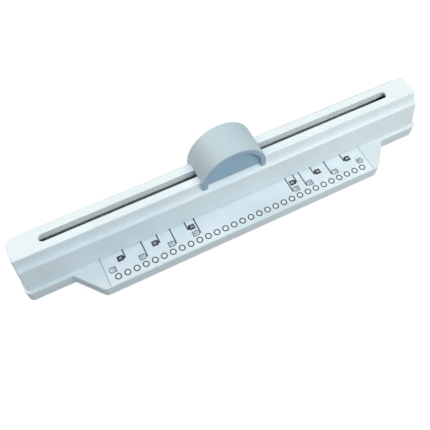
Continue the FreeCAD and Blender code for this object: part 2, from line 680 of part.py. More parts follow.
def rivet_places():
    """Rivets that join the rails to the pin channel."""
    first = -(RIVET_COUNT - 1) / 2 * RIVET_PITCH
    return [first + i * RIVET_PITCH for i in range(RIVET_COUNT)]


def block_rivet_places():
    """Rivets that join the rails to the rail blocks."""
    x = BLOCK_FACE + BLOCK_LENGTH / 2
    return [-x, x]


def rivet_level():
    """The height of the rivets."""
    return RAIL_BOTTOM + RIVET_RISE


def rail_rivets():
    """Short rivets through rail and channel, and rail and block."""
    rivets = []
    length = RAIL_SHEET + CHANNEL_SHEET
    for x in rivet_places() + block_rivet_places():
        shank = rod(x, CHANNEL_HALF - CHANNEL_SHEET, rivet_level(), RIVET_RADIUS, length, "y")
        head = rod(x, RAIL_OUTER, rivet_level(), RIVET_HEAD_RADIUS, RIVET_HEAD, "y")
        rivet = shank.fuse(head)
        rivets += [rivet, rivet.mirror(FreeCAD.Vector(0, 0, 0), FreeCAD.Vector(0, 1, 0))]
    return rivets


def rail_block():
    """The right-hand block that carries the rail ends and stops the carriage."""
    ends = (BLOCK_FACE, BLOCK_FACE + BLOCK_LENGTH)
    lip_bottom = TRACK_BOTTOM - RAIL_SHEET
    shape = box(*ends, -BLOCK_FOOT_HALF, BLOCK_FOOT_HALF, TABLE_HEIGHT, RAIL_BOTTOM)
    neck = CHANNEL_HALF
    head = LIP_EDGE - BLOCK_LIP_GAP
    shape = shape.fuse(box(*ends, -neck, neck, RAIL_BOTTOM, lip_bottom - BLOCK_LIP_GAP))
    shape = shape.fuse(box(*ends, -head, head, RAIL_BOTTOM, TRACK_TOP + RAIL_SHEET)).removeSplitter()
    cuts = []
    x = BLOCK_FACE + BLOCK_LENGTH / 2
    depth = CHANNEL_SHEET + RIVET_FIT
    for start in (-neck, neck - depth):
        cuts.append(rod(x, start, rivet_level(), RIVET_RADIUS + RIVET_FIT, depth, "y"))
    for y in (-BLOCK_SCREW_Y, BLOCK_SCREW_Y):
        cuts.append(rod(x, y, TABLE_HEIGHT - PAST, SCREW_RADIUS + THREAD_FIT, SCREW_BITE + PAST))
    return shape.cut(cuts)


def slot_bumpers():
    """Rubber pads on the blocks that the carriage meets at each end of its travel."""
    middle = (TRACK_BOTTOM + TRACK_TOP) / 2
    rise = (middle - BUMPER_HEIGHT / 2, middle + BUMPER_HEIGHT / 2)
    pad = box(BLOCK_FACE - BUMPER_THICKNESS, BLOCK_FACE, -BUMPER_HALF, BUMPER_HALF, *rise)
    return [mirrored_x(pad), pad]


def cover_rings(inset):
    """The cover's half widths and levels from the table up, moved inwards by a wall."""
    half = [
        (0, TABLE_HEIGHT, 0),
        (SKIRT_HALF, TABLE_HEIGHT, 0),
        (LEDGE_HALF, LEDGE_LEVEL, 0),
        (BAND_HALF, BAND_LEVEL, 0),
        (COVER_TOP_HALF, COVER_HEIGHT, 0),
        (0, COVER_HEIGHT, 0),
    ]
    full = half[1:-1] + [(-y, z, 0) for y, z, _ in reversed(half[1:-1])]
    moved = grown(full, -inset)[:4]
    skirt_top = moved[1]
    slope = (moved[0][0] - skirt_top[0]) / (skirt_top[1] - moved[0][1])
    foot = skirt_top[0] + slope * (skirt_top[1] - TABLE_HEIGHT)
    return [(foot, TABLE_HEIGHT)] + [(y, z) for y, z, _ in moved[1:]]


def cover_prism(inset, x0, x1):
    """The cover's section, moved inwards by a distance, run between two ends."""
    radii = (0, 0, BAND_FOOT_RADIUS + inset, 0)
    back = [(y, z, radius) for (y, z), radius in zip(cover_rings(inset), radii)]
    front = [(-y, z, radius) for y, z, radius in reversed(back)]
    return Part.Face(outline(back + front, x0, "yz")).extrude(FreeCAD.Vector(x1 - x0, 0, 0))


def end_edges(shape, x, side):
    """The rising edges of both end faces on one side of the middle plane."""
    found = []
    for edge in shape.Edges:
        bounds = edge.BoundBox
        at_end = bounds.XLength < NEAR and abs(abs(bounds.XMin) - x) < NEAR
        if at_end and bounds.ZLength > NEAR and side * bounds.Center.y > 0:
            found.append(edge)
    return found


def cover_bar(inset):
    """The cover's whole outer form, or its cavity, with its upright corners rounded."""
    x = COVER_HALF_LENGTH - inset
    bar = cover_prism(inset, -x, x)
    bar = bar.makeFillet(COVER_BACK_RADIUS - inset, end_edges(bar, x, 1))
    if inset < COVER_FRONT_RADIUS:
        bar = bar.makeFillet(COVER_FRONT_RADIUS - inset, end_edges(bar, x, -1))
    return bar


def top_cover():
    """The upper moulding: a stepped hollow bar with the long slot in its top and a rib along each side."""
    solid = cover_bar(0)
    solid = solid.makeFillet(COVER_EDGE_RADIUS, edges_at(solid, COVER_HEIGHT))
    solid = solid.makeFillet(LEDGE_EDGE_RADIUS, edges_at(solid, LEDGE_LEVEL))
    shell = solid.cut(cover_bar(WALL))
    reach = COVER_HALF_LENGTH - WALL
    room = cover_prism(WALL / 2, -reach, reach)
    for x, y in cover_screw_places():
        boss = rod(x, y, TABLE_HEIGHT, SCREW_RADIUS + BOSS_WALL, LEDGE_LEVEL - TABLE_HEIGHT)
        shell = shell.fuse(boss.common(room))
    radius = SLOT_WIDTH / 2
    rib_end = SLOT_HALF_LENGTH + SLOT_RIB_OVERRUN
    rib_side = radius + SLOT_RIB_THICKNESS
    for sides in ((-rib_side, -radius), (radius, rib_side)):
        rib = box(-rib_end, rib_end, *sides, SLOT_RIB_BOTTOM, COVER_HEIGHT - WALL / 2)
        shell = shell.fuse(rib)
    x = SLOT_HALF_LENGTH - radius
    deep = (COVER_HEIGHT - WALL - PAST, COVER_HEIGHT + PAST)
    slot = box(-x, x, -radius, radius, *deep)
    for end in (-x, x):
        slot = slot.fuse(rod(end, 0, deep[0], radius, deep[1] - deep[0]))
    cuts = [slot.removeSplitter()]
    mouth = (-BASE_FRONT, -FRAME_HALF)
    cuts.append(box(-THROAT_HALF, THROAT_HALF, *mouth, TABLE_HEIGHT - PAST, GUIDE_BOTTOM))
    for x, y in cover_screw_places():
        cuts.append(rod(x, y, TABLE_HEIGHT - PAST, SCREW_RADIUS + THREAD_FIT, SCREW_BITE + PAST))
    return shell.cut(cuts)


def cover_screws():
    """Screws up through the base into the cover and the rail blocks."""
    length = TOP_PLATE + SCREW_BITE - SCREW_TIP_ROOM
    places = cover_screw_places() + block_screw_places()
    head = (SCREW_HEAD_RADIUS, SCREW_HEAD)
    return [screw(x, y, PLATE_BOTTOM, length, SCREW_RADIUS, *head, False) for x, y in places]


def roller_places():
    """The rollers along the carriage: place, height and radius of each."""
    return [
        (CARRIAGE_X - LEAD_ROLLER_PITCH, LEAD_ROLLER_Z, LEAD_ROLLER_RADIUS),
        (CARRIAGE_X, ROLLER_Z, ROLLER_RADIUS),
        (CARRIAGE_X + LEAD_ROLLER_PITCH, LEAD_ROLLER_Z, LEAD_ROLLER_RADIUS),
    ]


def carriage():
    """The block in the rails, its neck between the slot's ribs and the stem up through the slot."""
    half = CARRIAGE_LENGTH / 2
    ends = (CARRIAGE_X - half, CARRIAGE_X + half)
    body = box(*ends, -CARRIAGE_HALF, CARRIAGE_HALF, CARRIAGE_BOTTOM, CARRIAGE_SHOULDER)
    neck = box(*ends, -NECK_HALF, NECK_HALF, CARRIAGE_SHOULDER, CARRIAGE_TOP)
    stem_ends = (CARRIAGE_X - STEM_LENGTH / 2, CARRIAGE_X + STEM_LENGTH / 2)
    stem = box(*stem_ends, -STEM_HALF, STEM_HALF, CARRIAGE_TOP, STEM_TOP)
    body = body.fuse([neck, stem]).removeSplitter()
    cuts = []
    side = ROLLER_HALF_WIDTH + ROLLER_SIDE_GAP
    for x, z, radius in roller_places():
        room = radius + ROLLER_POCKET_GAP
        cuts.append(box(x - room, x + room, -side, side, CARRIAGE_BOTTOM - PAST, z))
        cuts.append(rod(x, -side, z, room, 2 * side, "y"))
        cuts.append(cross_hole(x, z, AXLE_RADIUS + AXLE_PRESS, CARRIAGE_HALF))
    for x in grip_screw_places():
        cuts.append(cross_hole(x, grip_screw_level(), SCREW_RADIUS + SCREW_FIT, STEM_HALF))
    return body.cut(cuts)


def roller(x, z, radius):
    """A steel roller with a bored hub, turning on its axle."""
    wheel = rod(x, -ROLLER_HALF_WIDTH, z, radius, 2 * ROLLER_HALF_WIDTH, "y")
    rims = [e for e in wheel.Edges if e.BoundBox.YLength < NEAR]
    wheel = wheel.makeChamfer(ROLLER_CHAMFER, rims)
    return wheel.cut(cross_hole(x, z, AXLE_RADIUS + AXLE_FIT, ROLLER_HALF_WIDTH))


def roller_axles():
    """The three axle pins pressed through the carriage."""
    half = CARRIAGE_HALF - AXLE_END_GAP
    return [rod(x, -half, z, AXLE_RADIUS, 2 * half, "y") for x, z, _ in roller_places()]


def glide_pads():
    """Four slippery pads on the carriage's sides that run between the rail lips."""
    pads = []
    outer = CHANNEL_HALF - GLIDE_GAP
    for side in (-1, 1):
        across = sorted((side * CARRIAGE_HALF, side * outer))
        for end in (-1, 1):
            tip = CARRIAGE_X + end * CARRIAGE_LENGTH / 2
            along = sorted((tip, tip - end * GLIDE_LENGTH))
            pads.append(box(*along, *across, TRACK_BOTTOM + GLIDE_GAP, TRACK_TOP - GLIDE_GAP))
    return pads


def arch(inset, y0, y1, foot):
    """The grip's arch moved inwards, as a solid between two depths."""
    a = GRIP_HALF_WIDTH - inset
    b = GRIP_ARCH_RISE - inset
    centre = FreeCAD.Vector(CARRIAGE_X, y0, GRIP_SPRING_LINE)
    left, right = centre - FreeCAD.Vector(a, 0, 0), centre + FreeCAD.Vector(a, 0, 0)
    crown = centre + FreeCAD.Vector(0, 0, b)
    ellipse = Part.Ellipse(right, crown, centre) if a > b else Part.Ellipse(crown, right, centre)
    low_left = FreeCAD.Vector(left.x, y0, foot)
    low_right = FreeCAD.Vector(right.x, y0, foot)
    over = Part.ArcOfEllipse(ellipse, ellipse.parameter(right), ellipse.parameter(left)).toShape()
    if over.distToShape(Part.Vertex(crown))[0] > NEAR:
        over = Part.ArcOfEllipse(ellipse, ellipse.parameter(left), ellipse.parameter(right)).toShape()
    edges = [
        over,
        Part.LineSegment(left, low_left).toShape(),
        Part.LineSegment(low_left, low_right).toShape(),
        Part.LineSegment(low_right, right).toShape(),
    ]
    face = Part.Face(Part.Wire(Part.__sortEdges__(edges)))
    return face.extrude(FreeCAD.Vector(0, y1 - y0, 0))


def cover_room():
    """The cover's section grown by the running gap, along the whole width of the grip."""
    reach = GRIP_HALF_WIDTH + PAST
    return cover_prism(-GRIP_COVER_GAP, CARRIAGE_X - reach, CARRIAGE_X + reach)


def grip_seats():
    """The depths of the shoulders behind the front and back rims, where the panels sit."""
    return (GRIP_FRONT + GRIP_RIM_DEPTH, GRIP_BACK - GRIP_RIM_DEPTH)


def grip_screw_places():
    """The two screws that hold the grip on the stem."""
    return [CARRIAGE_X - GRIP_SCREW_SPACING / 2, CARRIAGE_X + GRIP_SCREW_SPACING / 2]


def grip_screw_level():
    """The height of the grip screws."""
    return STEM_TOP - GRIP_SCREW_DROP


def grip_shell():
    """The arched grip: a hollow bow with a raised rim front and back and two inner ribs."""
    solid = arch(0, GRIP_FRONT, GRIP_BACK, GRIP_FOOT)
    rounded = []
    for edge in solid.Edges:
        flat = edge.BoundBox.YLength < NEAR
        low = edge.BoundBox.ZMax < GRIP_FOOT + NEAR
        if flat and not low:
            rounded.append(edge)
    solid = solid.makeFillet(GRIP_EDGE_RADIUS, rounded)
    seats = grip_seats()
    shell = solid.cut(arch(GRIP_WALL, *seats, GRIP_FOOT - PAST))
    shell = shell.cut(arch(GRIP_RIM, GRIP_FRONT - PAST, GRIP_BACK + PAST, GRIP_FOOT - PAST))
    inner = arch(GRIP_WALL / 2, *seats, GRIP_FOOT)
    ribs = []
    ends = (CARRIAGE_X - GRIP_RIB_HALF, CARRIAGE_X + GRIP_RIB_HALF)
    top = GRIP_SPRING_LINE + GRIP_ARCH_RISE
    for side in (-1, 1):
        across = sorted((side * STEM_HALF, side * (STEM_HALF + GRIP_RIB)))
        ribs.append(box(*ends, *across, COVER_HEIGHT, top).common(inner))
    shell = shell.fuse(ribs).removeSplitter().cut(cover_room())
    radius = SCREW_RADIUS + THREAD_FIT
    reach = STEM_HALF + GRIP_RIB
    return shell.cut([cross_hole(x, grip_screw_level(), radius, reach) for x in grip_screw_places()])


def grip_panel(seat, inwards):
    """A recessed panel that closes the arch behind its rim."""
    across = sorted((seat, seat + inwards * GRIP_PANEL))
    return arch(GRIP_WALL + GRIP_PANEL_GAP, *across, GRIP_FOOT).cut(cover_room())


def grip_screws():
    """Two screws through the ribs and the stem."""
    reach = STEM_HALF + GRIP_RIB
    screws = []
    for x in grip_screw_places():
        body = screw(0, 0, 0, 2 * reach, SCREW_RADIUS, SCREW_HEAD_RADIUS, SCREW_HEAD, True)
        body.rotate(FreeCAD.Vector(0, 0, 0), FreeCAD.Vector(1, 0, 0), -90)
        screws.append(body.translated(FreeCAD.Vector(x, reach, grip_screw_level())))
    return screws


def chip_drawer():
    """The tray under the die plate that catches the chips and pulls out at the right end."""
    ends = (-DRAWER_BACK, BASE_HALF_LENGTH)
    tray = box(*ends, -DRAWER_HALF, DRAWER_HALF, DRAWER_BOTTOM, DRAWER_TOP)
    inner = DRAWER_HALF - DRAWER_WALL
    hollow = (ends[0] + DRAWER_WALL, ends[1] - DRAWER_FRONT_WALL)
    tray = tray.cut(box(*hollow, -inner, inner, DRAWER_BOTTOM + DRAWER_WALL, DRAWER_TOP + PAST))
    middle = (DRAWER_BOTTOM + DRAWER_TOP) / 2
    high = (middle - DRAWER_PULL_HEIGHT / 2, middle + DRAWER_PULL_HEIGHT / 2)
    deep = (BASE_HALF_LENGTH - DRAWER_PULL_DEPTH, BASE_HALF_LENGTH + PAST)
    return tray.cut(box(*deep, -DRAWER_PULL_HALF, DRAWER_PULL_HALF, *high))


def table_label():
    """The thin printed strip on the table in front of the throat."""
    half = SHEET_LENGTH / 2
    across = (LABEL_MARGIN - TABLE_REACH + BASE_EDGE_RADIUS, -FRAME_HALF - LABEL_BACK_GAP)
    return box(-half, half, *across, TABLE_HEIGHT, TABLE_HEIGHT + LABEL_THICKNESS)


def spring_gap():
    """The least gap between neighbouring turns of a spring, measured on points."""
    rise = (SPRING_LENGTH - SPRING_WIRE) / SPRING_TURNS
    steps = 36
    turn = []
    for i in range(steps * 2):
        a = 2 * math.pi * i / steps
        turn.append((SPRING_RADIUS * math.cos(a), SPRING_RADIUS * math.sin(a), rise * i / steps))
    gaps = [math.dist(turn[0], turn[i]) for i in range(steps // 2, steps * 2)]
    return min(gaps) - SPRING_WIRE


os.makedirs("parts", exist_ok=True)

save("base_housing", base_housing())
save("bottom_plate", bottom_plate())
save("bottom_screws", bottom_screws())
save("rubber_feet", rubber_feet())
save("chip_drawer", chip_drawer())
save("die_plate", die_plate())
save("paper_stop", paper_stop())
save("guide_plate", guide_plate())
save("pin_channel", pin_channel())
save("frame_screws", frame_screws())
for number, place in enumerate(pin_places(), start=1):
    save("punch_pin_%02d" % number, punch_pin(place))
spring = pin_spring()
save("pin_springs", [spring.translated(FreeCAD.Vector(x, 0, 0)) for x in pin_places()])
print("least gap between spring turns %.2f mm" % spring_gap())
save("rail_front", rail(-1))
save("rail_rear", rail(1))
save("rail_rivets", rail_rivets())
save("rail_block_left", mirrored_x(rail_block()))
save("rail_block_right", rail_block())
save("slot_bumpers", slot_bumpers())
save("top_cover", top_cover())
save("cover_screws", cover_screws())
save("carriage", carriage())
for name, place in zip(("lead_roller_left", "press_roller", "lead_roller_right"), roller_places()):
    save(name, roller(*place))
save("roller_axles", roller_axles())
save("glide_pads", glide_pads())
save("grip_shell", grip_shell())
front_seat, rear_seat = grip_seats()
save("grip_front_panel", grip_panel(front_seat, 1))
save("grip_rear_panel", grip_panel(rear_seat, -1))
save("grip_screws", grip_screws())
save("table_label", table_label())
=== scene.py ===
import math

import bmesh
import bpy
from mathutils import Matrix, Quaternion, Vector


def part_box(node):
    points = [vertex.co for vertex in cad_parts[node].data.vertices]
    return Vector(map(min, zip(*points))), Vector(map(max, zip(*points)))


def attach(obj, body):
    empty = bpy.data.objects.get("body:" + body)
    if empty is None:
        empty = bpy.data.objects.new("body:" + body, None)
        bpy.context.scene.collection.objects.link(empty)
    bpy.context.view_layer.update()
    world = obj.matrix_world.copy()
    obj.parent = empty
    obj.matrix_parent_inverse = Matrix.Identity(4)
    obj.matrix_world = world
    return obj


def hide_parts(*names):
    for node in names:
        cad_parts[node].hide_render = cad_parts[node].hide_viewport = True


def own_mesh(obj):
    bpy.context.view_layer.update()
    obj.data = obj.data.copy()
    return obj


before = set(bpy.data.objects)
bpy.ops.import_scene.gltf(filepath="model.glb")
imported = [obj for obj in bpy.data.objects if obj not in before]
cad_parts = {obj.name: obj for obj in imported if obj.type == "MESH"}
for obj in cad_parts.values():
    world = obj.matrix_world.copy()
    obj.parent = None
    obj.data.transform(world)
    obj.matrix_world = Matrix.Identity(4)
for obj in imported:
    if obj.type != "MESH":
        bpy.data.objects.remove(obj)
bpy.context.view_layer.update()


# The base is one satin moulding in pale cool grey: the table, the flange round the cover
# and the tunnel of the chip drawer. Its plastic is flat injected, with a very fine grain
# from the mould and a faint unevenness that shows where light grazes it.
def paint(red, green, blue):
    """A colour as it reads on a screen, 0 to 255, for a shader."""
    linear = []
    for part in (red, green, blue):
        c = part / 255
        linear.append(c / 12.92 if c <= 0.04045 else ((c + 0.055) / 1.055) ** 2.4)
    return (*linear, 1.0)


def new_finish(name, colour, roughness, metal=0.0):
    """A new material with its shader, and the place on the object in metres."""
    material = bpy.data.materials.new(name)
    material.use_nodes = True
    tree = material.node_tree
    shader = tree.nodes["Principled BSDF"]
    shader.inputs["Base Color"].default_value = colour
    shader.inputs["Roughness"].default_value = roughness
    shader.inputs["Metallic"].default_value = metal
    place = tree.nodes.new("ShaderNodeTexCoord").outputs["Object"]
    return material, tree, shader, place


def speckle(tree, place, size, detail=2.0, stretch=(1.0, 1.0, 1.0)):
    """Random light and dark patches of a given size in metres."""
    spread = tree.nodes.new("ShaderNodeMapping")
    spread.inputs["Scale"].default_value = stretch
    noise = tree.nodes.new("ShaderNodeTexNoise")
    noise.inputs["Scale"].default_value = 1 / size
    noise.inputs["Detail"].default_value = detail
    tree.links.new(place, spread.inputs["Vector"])
    tree.links.new(spread.outputs["Vector"], noise.inputs["Vector"])
    return noise.outputs["Fac"]


def between(tree, amount, low, high):
    """Turn patches of 0.3 to 0.7 into numbers from low to high."""
    ranged = tree.nodes.new("ShaderNodeMapRange")
    for socket, value in zip(("From Min", "From Max", "To Min", "To Max"), (0.3, 0.7, low, high)):
        ranged.inputs[socket].default_value = value
    tree.links.new(amount, ranged.inputs["Value"])
    return ranged.outputs["Result"]


def tinted(tree, shader, amount, dark, light):
    """Colour the shader from dark to light by an amount of 0 to 1."""
    mix = tree.nodes.new("ShaderNodeMix")
    mix.data_type = "RGBA"
    colours = [socket for socket in mix.inputs if socket.type == "RGBA"]
    colours[0].default_value = dark
    colours[1].default_value = light
    tree.links.new(amount, mix.inputs["Factor"])
    result = [socket for socket in mix.outputs if socket.type == "RGBA"][0]
    tree.links.new(result, shader.inputs["Base Color"])


def grained(tree, shader, amount, depth):
    """Raise the surface by an amount, up to a depth in metres."""
    bump = tree.nodes.new("ShaderNodeBump")
    bump.inputs["Distance"].default_value = depth
    tree.links.new(amount, bump.inputs["Height"])
    tree.links.new(bump.outputs["Normal"], shader.inputs["Normal"])


def shade(colour, factor):
    """The same colour, darker or lighter."""
    return (*[min(c * factor, 1.0) for c in colour[:3]], 1.0)


CLOUD_SIZE = 0.03
SMEAR_SIZE = 0.008
SMEAR_SPREAD = 0.05


def moulded(name, colour, roughness, grain=0.0004, depth=0.000006):
    """Injected plastic: fine mould grain, faint clouding, roughness that wanders a little."""
    material, tree, shader, place = new_finish(name, colour, roughness)
    clouds = between(tree, speckle(tree, place, CLOUD_SIZE), 0.0, 1.0)
    tinted(tree, shader, clouds, shade(colour, 0.97), shade(colour, 1.02))
    smears = speckle(tree, place, SMEAR_SIZE, 4.0)
    dull = between(tree, smears, roughness - SMEAR_SPREAD, roughness + SMEAR_SPREAD)
    tree.links.new(dull, shader.inputs["Roughness"])
    grained(tree, shader, speckle(tree, place, grain), depth)
    return material


def finish_node(name, material):
    """Give a piece of the frame its surface."""
    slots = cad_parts[name].material_slots
    for slot in slots:
        slot.material = material


finish_node("base_housing", moulded("base_plastic", paint(226, 233, 237), 0.42))


# The bottom plate is a plain matt sheet of the same plastic, a little darker, held by
# short zinc plated screws whose heads lie below its face. Nobody sees it in use.
SCRATCH_SIZE = 0.0006


def turned_steel(name, colour, roughness, stretch=(1.0, 1.0, 1.0), depth=0.000004):
    """Worked steel: fine scratches along the way it was ground, rolled or turned."""
    material, tree, shader, place = new_finish(name, colour, roughness, metal=1.0)
    scratches = speckle(tree, place, SCRATCH_SIZE, 4.0, stretch)
    tinted(tree, shader, between(tree, scratches, 0.0, 1.0), shade(colour, 0.86), shade(colour, 1.08))
    tree.links.new(between(tree, scratches, roughness - 0.08, roughness + 0.10), shader.inputs["Roughness"])
    grained(tree, shader, scratches, depth)
    return material


finish_node("bottom_plate", moulded("bottom_plastic", paint(205, 212, 216), 0.55, depth=0.00001))
screw_steel = turned_steel("screw_steel", paint(196, 198, 200), 0.34)
finish_node("bottom_screws", screw_steel)


# Six round feet of soft black rubber sit in recesses of the bottom plate and keep the
# punch from creeping while the grip is pushed. Dust makes rubber greyer in patches.
BLOOM_SIZE = 0.004
RUBBER_GRAIN = 0.0005


def rubbery(name, colour):
    """Matt rubber with a dusty bloom."""
    material, tree, shader, place = new_finish(name, colour, 0.85)
    bloom = between(tree, speckle(tree, place, BLOOM_SIZE, 5.0), 0.0, 1.0)
    tinted(tree, shader, bloom, shade(colour, 0.8), shade(colour, 1.5))
    grained(tree, shader, speckle(tree, place, RUBBER_GRAIN), 0.00002)
    return material


finish_node("rubber_feet", rubbery("foot_rubber", paint(46, 47, 49)))


# The punch frame lies on the base under the cover: a ground die plate, the stop that sets
# the throat, the guide plate and the folded channel, all drawn together by long screws.
# The plates are surface ground along their length, and the sheet is zinc plated.
GRAIN_ALONG = (0.04, 1.0, 1.0)
ground_steel = turned_steel("ground_steel", paint(188, 190, 193), 0.30, GRAIN_ALONG)
zinc_sheet = turned_steel("zinc_sheet", paint(205, 207, 208), 0.38, GRAIN_ALONG)
for name in ("die_plate", "guide_plate"):
    finish_node(name, ground_steel)
for name in ("paper_stop", "pin_channel"):
    finish_node(name, zinc_sheet)
finish_node("frame_screws", screw_steel)


# Thirty hardened pins, ground round, stand in a row in their springs of drawn wire. Each
# has a spring clip in its groove, which closes the spring up as the pin goes down.
PIN_COUNT = 30
PIN_PITCH = 0.0095
GRAIN_ROUND = (1.0, 1.0, 0.05)
pin_places = [(i - (PIN_COUNT - 1) / 2) * PIN_PITCH for i in range(PIN_COUNT)]
pin_steel = turned_steel("pin_steel", paint(208, 209, 212), 0.22, GRAIN_ROUND, 0.000002)
spring_steel = turned_steel("spring_steel", paint(170, 172, 176), 0.28)
for i in range(PIN_COUNT):
    finish_node("punch_pin_%02d" % (i + 1), pin_steel)


def springs_apart(row):
    """The points and faces of each spring in the row's mesh, found by their place along it."""
    points = [[] for _ in pin_places]
    faces = [[] for _ in pin_places]
    moved = []
    for vertex in row.vertices:
        i = round((vertex.co.x - pin_places[0]) / PIN_PITCH)
        moved.append((i, len(points[i])))
        points[i].append(tuple(vertex.co))
    for face in row.polygons:
        i = moved[face.vertices[0]][0]
        faces[i].append([moved[v][1] for v in face.vertices])
    return zip(points, faces)


for i, (points, faces) in enumerate(springs_apart(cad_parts["pin_springs"].data)):
    data = bpy.data.meshes.new("pin_spring_%02d" % (i + 1))
    data.from_pydata(points, [], faces)
    data.shade_smooth()
    data.materials.append(spring_steel)
    spring = bpy.data.objects.new(data.name, data)
    bpy.context.scene.collection.objects.link(spring)
    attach(spring, "base")
    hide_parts("pin_springs")
    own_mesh(spring)


# Two folded C rails are riveted to the channel and to a plastic block at each end. They
# hold the carriage down while it presses, and grey rubber bumpers end its travel.
for name in ("rail_front", "rail_rear"):
    finish_node(name, zinc_sheet)
finish_node("rail_rivets", screw_steel)
block_plastic = moulded("block_plastic", paint(112, 116, 119), 0.5)
for name in ("rail_block_left", "rail_block_right"):
    finish_node(name, block_plastic)
finish_node("slot_bumpers", rubbery("bumper_rubber", paint(172, 178, 182)))


# The cover is the long stepped bar that gives the punch its look, in the same satin
# plastic as the base but nearly white. Deep ribs line its slot and hide the rails.
finish_node("top_cover", moulded("cover_plastic", paint(232, 238, 242), 0.38))
finish_node("cover_screws", screw_steel)


# The carriage is a dark slippery block with three steel rollers on pressed-in axles. Its
# four glide pads run between the lips of the rails, and its stem comes up in the slot.
finish_node("carriage", moulded("carriage_plastic", paint(74, 78, 82), 0.45))
finish_node("glide_pads", moulded("glide_plastic", paint(214, 214, 206), 0.35))
roller_steel = turned_steel("roller_steel", paint(200, 201, 204), 0.25, GRAIN_ROUND)
for name in ("lead_roller_left", "press_roller", "lead_roller_right", "roller_axles"):
    finish_node(name, roller_steel)


# The grip is a hollow bow of soft matt grey-blue plastic with a raised rim at its front
# and back, closed by two recessed panels and screwed to the stem through its ribs. The rims are
# the same plastic as the bow; their faces that look forward and back get a darker colour, painted shade.
# Painted shade: the darker colour for the rim faces that look forward and back, and the range of facing
# that gets it.
RIM_PAINTED_SHADE = paint(164, 184, 203)
RIM_SHADE_FACING = (0.75, 0.95)
GRIP_GRAIN = 0.0006
GRIP_GRAIN_DEPTH = 0.00001


def paint_shade_on_ends(material, colour, along, ends):
    """Paint shade on the faces that look along one axis, here the front and back rims of the grip: a darker
    colour as if they lay in shade.
    """
    tree = material.node_tree
    shader = tree.nodes["Principled BSDF"]
    plain = shader.inputs["Base Color"].links[0].from_socket
    facing = tree.nodes.new("ShaderNodeSeparateXYZ")
    normal = tree.nodes.new("ShaderNodeTexCoord").outputs["Normal"]
    tree.links.new(normal, facing.inputs["Vector"])
    size = tree.nodes.new("ShaderNodeMath")
    size.operation = "ABSOLUTE"
    tree.links.new(facing.outputs[along], size.inputs[0])
    shade_mask = tree.nodes.new("ShaderNodeMapRange")
    shade_mask.inputs["From Min"].default_value = ends[0]
    shade_mask.inputs["From Max"].default_value = ends[1]
    tree.links.new(size.outputs[0], shade_mask.inputs["Value"])
    mix = tree.nodes.new("ShaderNodeMix")
    mix.data_type = "RGBA"
    colours = [socket for socket in mix.inputs if socket.type == "RGBA"]
    tree.links.new(plain, colours[0])
    colours[1].default_value = colour
    tree.links.new(shade_mask.outputs["Result"], mix.inputs["Factor"])
    result = [socket for socket in mix.outputs if socket.type == "RGBA"][0]
    tree.links.new(result, shader.inputs["Base Color"])


grip_plastic = moulded("grip_plastic", paint(188, 203, 212), 0.52, GRIP_GRAIN, GRIP_GRAIN_DEPTH)
# Painted shade on the rims: the faces of the grip that look forward and back are coloured darker.
paint_shade_on_ends(grip_plastic, RIM_PAINTED_SHADE, "Y", RIM_SHADE_FACING)
# The panels are a bluer plastic than the shell, and their colour is also painted darker for the shade in
# their recess.
panel_plastic_shaded = moulded("panel_plastic_shaded", paint(155, 184, 206), 0.55, GRIP_GRAIN, GRIP_GRAIN_DEPTH)
finish_node("grip_shell", grip_plastic)
for name in ("grip_front_panel", "grip_rear_panel"):
    finish_node(name, panel_plastic_shaded)
finish_node("grip_screws", screw_steel)


# The chip drawer is a plain grey tray that slides in the tunnel under the die plate and
# is pulled out at the right-hand end by a groove in its front.
finish_node("chip_drawer", moulded("drawer_plastic", paint(198, 204, 208), 0.5))


# A printed film is stuck on the table: a row of rings where the holes will fall, guide
# lines for narrower sheets and small numbered tags. The ink is dark grey screen print.
film_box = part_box("table_label")
film_top = film_box[1].z
film_back = film_box[1].y
FILM_CLOUD_SIZE = 0.012
FILM_GRAIN = 0.0012
INK_HEIGHT = 0.00004
INK_SINK = 0.00002
INK_MOTTLE = 0.0007
RING_LINE = -0.0351
RING_OUTER = 0.00340
RING_WIDTH = 0.00120
RING_SIDES = 40

film_finish, film_tree, film_shader, film_place = new_finish("label_film", paint(231, 238, 244), 0.45)
film_cloud = between(film_tree, speckle(film_tree, film_place, FILM_CLOUD_SIZE), 0.0, 1.0)
tinted(film_tree, film_shader, film_cloud, paint(228, 235, 241), paint(234, 241, 247))
grained(film_tree, film_shader, speckle(film_tree, film_place, FILM_GRAIN), 0.000006)
finish_node("table_label", film_finish)


def ink(name, colour):
    """Screen-printed ink, a little uneven where it took on the film."""
    material, tree, shader, place = new_finish(name, colour, 0.6)
    coverage = between(tree, speckle(tree, place, INK_MOTTLE, 3.0), 0.0, 1.0)
    tinted(tree, shader, coverage, shade(colour, 0.85), shade(colour, 1.25))
    return material


dark_ink = ink("dark_ink", paint(56, 61, 66))
grey_ink = ink("grey_ink", paint(104, 111, 117))
black_ink = ink("black_ink", paint(34, 37, 42))
white_ink = ink("white_ink", paint(246, 250, 252))


def flat_form(mesh, outline, low, high):
    """Add a thin closed plate with straight walls to a mesh in the making."""
    bottom = [mesh.verts.new((x, y, low)) for x, y in outline]
    top = [mesh.verts.new((x, y, high)) for x, y in outline]
    mesh.faces.new(list(reversed(bottom)))
    mesh.faces.new(top)
    count = len(outline)
    for i in range(count):
        j = (i + 1) % count
        mesh.faces.new((bottom[i], bottom[j], top[j], top[i]))


def flat_frame(mesh, outer, inner, low, high):
    """Add a thin closed frame between two outlines with the same number of points."""
    count = len(outer)
    rings = []
    for outline in (outer, inner):
        for level in (low, high):
            rings.append([mesh.verts.new((x, y, level)) for x, y in outline])
    outer_low, outer_high, inner_low, inner_high = rings
    for i in range(count):
        j = (i + 1) % count
        mesh.faces.new((outer_low[i], outer_low[j], outer_high[j], outer_high[i]))
        mesh.faces.new((inner_low[j], inner_low[i], inner_high[i], inner_high[j]))
        mesh.faces.new((outer_high[i], outer_high[j], inner_high[j], inner_high[i]))
        mesh.faces.new((outer_low[j], outer_low[i], inner_low[i], inner_low[j]))


